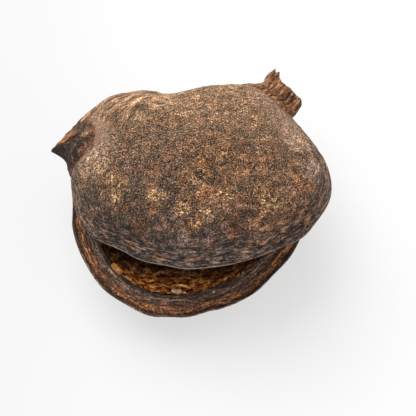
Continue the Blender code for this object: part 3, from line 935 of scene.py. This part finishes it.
def skin_mottling(tree, base):
    """Rust, stains, clouds, orange and slate flecks, dark strokes, tan blotches, a pale crust and a pale
    patch at the back right that is partly a painted sheen.
    """
    where = place(tree)
    base = lay(tree, base, "#7e4c2b", fade(tree, blobs(tree, where, RUST_PATCH, twist=0.4), 0.51, 0.64), 0.6)
    stain = fade(tree, blobs(tree, where, STAIN_PATCH), 0.42, 0.56)
    base = lay(tree, base, "#8f5a2c", near(tree, STAINED_CREST), stain)
    # The clouds have less contrast at the back, where the felt is worn
    cloud = fade(tree, blobs(tree, where, FELT_CLOUD, 4.0, 0.62), 0.34, 0.66)
    keep, lift = fade(tree, "y", 8.0, -16.0, 0.55, 1.0), fade(tree, "y", 8.0, -16.0, 0.24, 0.0)
    cloud = add(tree, "Math", {0: cloud, 1: keep, 2: lift}, operation="MULTIPLY_ADD")
    base = shade(tree, base, cloud, 0.29, 2.05)
    orange = fade(tree, blobs(tree, where, ORANGE_FLECK, 4.0, 0.75, 0.3), 0.53, 0.64)
    base = lay(tree, base, "#9f652c", orange, 0.55)
    # Mirrored, so that the slate flecks fall between the orange ones
    mirrored = place(tree, (-1.0, 1.0, 1.0))
    slate = fade(tree, blobs(tree, mirrored, SLATE_FLECK, 4.0, 0.75, 0.3), 0.54, 0.65)
    base = lay(tree, base, "#5d5c60", slate, 0.36)
    strokes = fade(tree, blobs(tree, along_lip(tree, 0.12), DARK_STROKE, 2.0, 0.5), 0.54, 0.62)
    base = lay(tree, base, "#3f2f27", strokes, near(tree, STROKED_BACK))
    tan = blotches(tree, False)
    base = lay(tree, base, "#c8955f", tan, 0.75)
    base = lay(tree, base, "#e6c896", fade(tree, tan, 0.55, 0.95), 0.6)
    base = lay(tree, base, "#b46f38", blotches(tree, True), 0.7)
    crust = fade(tree, blobs(tree, where, CRUST_FLAKE, 3.0, 0.7), 0.46, 0.6)
    base = lay(tree, base, "#cfb096", crust, near(tree, CRUSTED_SHOULDER))
    # A pale smooth patch at the back right: smoother felt, and partly a painted sheen
    return lay(tree, base, "#ab8169", near(tree, SMOOTH_SHEEN_SHOULDER))


def blotches(tree, rusty):
    """The blotches that are tan or rusty, broken up by the grain."""
    spots = [(*spot, rust if rusty else 1.0) for *spot, rust in BLOTCHES if rust > 0 or not rusty]
    broken = fade(tree, blobs(tree, place(tree), BLOTCH_GRAIN, 3.0, 0.7), 0.4, 0.6)
    return times(tree, near(tree, *spots), broken)


def skin_grain(tree):
    """The felt, 0 in its pits and 1 on its tips: fine tufts, combed into strands low on the valves."""
    tufts = blobs(tree, place(tree), FELT_TUFT, 2.0, 0.8)
    strands = blobs(tree, along_lip(tree), FELT_STRAND, 3.0, 0.65)
    low = fade(tree, "lip", 17.0, 5.0, 0.06, 0.6)
    combed = add(tree, "Math", {0: low, 1: near(tree, COMBED_BACK)}, operation="MAXIMUM")
    return fade(tree, add(tree, "Mix", {0: combed, 2: tufts, 3: strands}), 0.38, 0.62)


def felt_colour(tree, base, grain):
    """The felt's shading, its tan tips and near-black pits, and cream dots, mostly at the back."""
    base = shade(tree, base, grain, 0.21, 2.9)
    base = lay(tree, base, "#dcb68c", fade(tree, grain, 0.6, 0.95), fade(tree, "y", -34.0, 0.0, 0.08, 0.3))
    base = lay(tree, base, "#2a2224", fade(tree, grain, 0.4, 0.05), 0.35)
    dots = fade(tree, blobs(tree, place(tree, (1.0, -1.0, 1.0)), CREAM_DOT, 1.0, 0.5), 0.65, 0.71)
    return lay(tree, base, "#ecd0a8", dots, fade(tree, "y", -36.0, -14.0, 0.1, 0.6))


def lip_strands(tree, base):
    """Black and pale grey strands side by side, low on the valves; the pale strands are partly painted glints
    on the hairs.
    """
    low = fade(tree, "lip", 14.0, 4.0)
    strands = blobs(tree, along_lip(tree, 0.25), LIP_STRAND, 3.0, 0.7)
    base = lay(tree, base, "#120e0c", fade(tree, strands, 0.48, 0.4), low, 0.8)
    # Pale grey strands, partly painted glints
    return lay(tree, base, "#b8a8a0", fade(tree, strands, 0.55, 0.63), low, 0.7)


def beak_colour(tree, base, grain):
    """A blackish fibrous beak: painted shade where it faces the front, an orange streak on its back flank
    that is partly a painted highlight, a pale ring round its root that is partly a painted highlight, and a
    rusty crease round its root.
    """
    fibre = blobs(tree, place(tree, (ALONG_BEAK, 1.0, 1.0)), BEAK_FIBRE)
    normal = add(tree, "NewGeometry", out="Normal")
    facing, upward = (add(tree, "SeparateXYZ", {0: normal}, out=axis) for axis in "YZ")
    dark = lay(tree, colour("#100a08"), "#5c3e2e", fade(tree, fibre, 0.45, 0.66))
    # Painted shade: where the beak faces the front, away from the light, it is laid near black
    dark = lay(tree, dark, "#050404", fade(tree, facing, 0.12, -0.2), 0.9)
    dark = shade(tree, dark, grain, 0.4, 1.8)
    # A pale ring round the root where the dome's edge rises, partly a painted highlight on that edge
    inside, outside = fade(tree, "root", 1.16, 1.26), fade(tree, "root", 1.62, 1.36)
    front = fade(tree, facing, 0.4, 0.0, 0.0, 0.75)
    base = lay(tree, base, "#c09c86", inside, outside, fade(tree, fibre, 0.35, 0.6), front)
    edge = ragged(tree, "root", BEAK_EDGE, 1.3, 4.0, 0.65)
    base = lay(tree, base, dark, fade(tree, edge, 1.16, 0.94), 0.92)
    # The orange streak lies where the flank faces back and up, towards the light: partly its own colour,
    # partly a painted highlight
    lit_flank = times(tree, fade(tree, facing, -0.05, 0.2), fade(tree, upward, 0.1, 0.4))
    base = lay(tree, base, "#cf8654", near(tree, BEAK_FLANK), lit_flank, fade(tree, fibre, 0.4, 0.52))
    crease = times(tree, fade(tree, "root", 1.0, 1.12), fade(tree, "root", 1.3, 1.18), 0.7)
    broken = fade(tree, blobs(tree, place(tree), BLOTCH_GRAIN), 0.45, 0.6)
    return lay(tree, base, "#7a421f", crease, broken)


# Felted husk: dry wood under short stiff hairs. It is matt, and the eye sees a dense tan and dark speckle
# over brown, greyer low on the front and paler at the back, with a faint warm sheen from the hairs
def husk_skin_material():
    sheen = {"Sheen_Weight": 0.05, "Sheen_Roughness": 0.45, "Sheen_Tint": colour("#d8a584")}
    gloss = {"Roughness": 0.85, "Specular_IOR_Level": 0.3}
    material, tree, shader = start_material("felted_husk_skin", **gloss, **sheen)
    grain = skin_grain(tree)
    base = felt_colour(tree, skin_mottling(tree, skin_tone(tree)), grain)
    base = beak_colour(tree, lip_strands(tree, base), grain)
    # The pale edge where the skin ends at the mouth: the bare edge, brightened as a painted highlight along
    # it
    base = lay(tree, base, "#c4ac9d", fade(tree, "lip", 0.45, 0.12), fade(tree, "front", 0.0, 0.3), 0.9)
    finish_material(tree, shader, base, grain, (0.92, 0.72), 0.35)
    return material


# Broken rim: woody husk torn open along its grain. The eye sees bands that follow the lip, worn and
# streaked, and slightly glossy where fibres lie bare
def broken_rim_material():
    material, tree, shader = start_material("broken_rim", Roughness=0.75)
    base = add(tree, "ValToRGB", {0: ragged(tree, "share", RIM_WAVER, 0.12, 2.0, 0.5)}, stops=RIM_BANDS)
    base = lay(tree, base, "#644a38", fade(tree, blobs(tree, place(tree), RIM_WEAR), 0.42, 0.6), 0.6)
    streaks = blobs(tree, along_lip(tree, ALONG_RIM, "share", RIM_ACROSS), RIM_FIBRE)
    specks = blobs(tree, place(tree), RIM_SPECK, 3.0, 0.7)
    grain = fade(tree, add(tree, "Mix", {0: 0.5, 2: streaks, 3: specks}), 0.38, 0.62)
    finish_material(tree, shader, shade(tree, base, grain, 0.3, 3.7), grain, (0.85, 0.6), 0.4)
    return material


# Fibrous lining: soft honey-brown pith. The eye sees lumps with pale shiny crests and dark pits, with painted
# shade deep under the upper lip and painted light towards the mouth
def fibrous_lining_material():
    material, tree, shader = start_material("fibrous_lining", Roughness=0.6, Specular_IOR_Level=0.35)
    clumps = blobs(tree, place(tree, (0.6, 1.0, 1.0)), LINING_CLUMP, twist=0.6)
    fibres = blobs(tree, place(tree, (0.4, 1.0, 1.0)), LINING_FIBRE)
    both = add(tree, "Mix", {0: 0.4, 2: clumps, 3: fibres})
    base = add(tree, "ValToRGB", {0: both}, stops=LINING_BANDS)
    # Painted shade deep inside under the upper lip, where its shadow falls, and painted light towards the
    # mouth
    base = shade(tree, base, fade(tree, "y", -23.0, -34.0), 0.25, 1.9)
    grain = fade(tree, both, 0.38, 0.62)
    finish_material(tree, shader, shade(tree, base, grain, 0.6, 1.6), grain, (0.65, 0.35), 1.1)
    return material


# Torn pith: a matt bit of the lining that broke off. The eye sees fine fibres in one bright tone
def torn_pith_material(name, dark, light):
    material, tree, shader = start_material(name, Roughness=0.8)
    patches = fade(tree, blobs(tree, place(tree), PITH_PATCH, 2.0, 0.5), 0.35, 0.65)
    grain = fade(tree, blobs(tree, place(tree, (0.5, 1.0, 1.0)), PITH_FIBRE, 3.0, 0.7), 0.38, 0.62)
    base = shade(tree, lay(tree, colour(dark), light, patches), grain, 0.7, 1.3)
    finish_material(tree, shader, base, grain, (0.9, 0.7), 0.3)
    return material


# Torn stalk: woody fibres that run out along it, weathered and matt. The eye sees light and dark streaks,
# and the pale crests of the fibres
def torn_stalk_material(name, crest):
    material, tree, shader = start_material(name, Roughness=0.85)
    turn = add(tree, "Math", {0: read(tree, "turn")}, operation="RADIANS")
    round_axis = [add(tree, "Math", {0: turn}, operation=way) for way in ("COSINE", "SINE")]
    across = {axis: times(tree, way, STALK_GIRTH) for axis, way in enumerate(round_axis)}
    along = times(tree, read(tree, "stalk"), STALK_LONG_COLOUR)
    where = add(tree, "CombineXYZ", {**across, 2: along})
    specks = blobs(tree, place(tree), STALK_FIBRE, 4.0, 0.75)
    both = add(tree, "Mix", {0: 0.5, 2: blobs(tree, where, STALK_FIBRE), 3: specks})
    base = add(tree, "ValToRGB", {0: both}, stops=(*STALK_BANDS, (STALK_CREST, crest)))
    finish_material(tree, shader, base, fade(tree, both, 0.38, 0.62), (0.92, 0.75), 0.6)
    return material


# Matt pale table, a little brighter at the right and darker at the left, where painted shade stands for a
# soft shadow; lit from below too, so that the shadows on it stay light
def pale_floor_material():
    material, tree, shader = start_material("pale_floor", Roughness=0.8, Emission_Strength=FLOOR_GLOW)
    shader.inputs["Emission Color"].default_value = colour("#ffffff")
    # Painted shade: the floor's colour darkens towards the left
    tone = lay(tree, colour("#828383"), "#919292", fade(tree, "x", -82.2, 17.8))
    tree.links.new(tone, shader.inputs["Base Color"])
    return material


def make_floor():
    """The table that the pod lies on."""
    corners = [(x * FLOOR_HALF, y * FLOOR_HALF, 0) for x, y in ((-1, -1), (1, -1), (1, 1), (-1, 1))]
    mesh = bpy.data.meshes.new("floor")
    mesh.from_pydata(corners, [], [(0, 1, 2, 3)])
    mesh.materials.append(pale_floor_material())
    floor = bpy.data.objects.new("floor", mesh)
    bpy.context.scene.collection.objects.link(floor)


def look_at(thing, point):
    """Turns a camera or a lamp towards a point."""
    thing.rotation_euler = (point - thing.location).to_track_quat("-Z", "Y").to_euler()
    bpy.context.scene.collection.objects.link(thing)


def add_camera():
    """A camera at the photograph's angle, with the pod where the photograph has it in the frame."""
    rise = math.radians(CAMERA_RISE)
    back = Vector((0, -math.cos(rise), math.sin(rise)))
    upward = Vector((0, math.sin(rise), math.cos(rise)))
    middle = Vector(POD_PLACE)
    aim = middle + (Vector((1, 0, 0)) * POD_LEFT_PX - upward * POD_ABOVE_PX) * MM_PER_PX
    camera = bpy.data.objects.new("camera", bpy.data.cameras.new("camera"))
    camera.data.lens = CAMERA_LENS
    camera.data.sensor_width = CAMERA_SENSOR
    camera.data.clip_start = 0.01
    distance = CAMERA_LENS / CAMERA_SENSOR * PICTURE_PX * MM_PER_PX
    camera.location = (middle + back * distance) * MM
    look_at(camera, aim * MM)
    bpy.context.scene.camera = camera


def add_studio():
    """A broad soft key light from the upper left, and pale surroundings."""
    light = bpy.data.lights.new("key", "AREA")
    light.size = KEY_SIZE
    light.energy = KEY_WATTS
    lamp = bpy.data.objects.new("key", light)
    lamp.location = KEY_PLACE
    look_at(lamp, Vector((0, 0, 0)))
    world = bpy.data.worlds.new("studio")
    world.use_nodes = True
    background = world.node_tree.nodes["Background"]
    background.inputs["Color"].default_value = (1, 1, 1, 1)
    background.inputs["Strength"].default_value = STUDIO_LIGHT
    bpy.context.scene.world = world
    bpy.context.scene.view_settings.view_transform = "Standard"


def main():
    """The five pieces, which all ride on the root and replace the frame's plain husk, and the studio."""
    stalk = torn_stalk_material("torn_stalk", "#c09a72")
    stalk_end = torn_stalk_material("torn_end", "#96693f")
    skin = make_skin([husk_skin_material(), stalk, stalk_end])
    lining = make_lining([broken_rim_material(), fibrous_lining_material()])
    orange_pith = torn_pith_material("orange_pith", "#c96f2a", "#ffb868")
    pale_pith = torn_pith_material("pale_pith", "#f0bb90", "#ffdfc0")
    flake = make_bit("torn_flake", TORN_FLAKE, orange_pith)
    crumb = make_bit("loose_crumb", LOOSE_CRUMB, pale_pith)
    fleck = make_bit("pale_fleck", PALE_FLECK, pale_pith)
    for piece in (skin, lining, flake, crumb, fleck):
        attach(piece, "root")
        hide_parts("pod_husk")
    make_floor()
    add_camera()
    add_studio()


main()
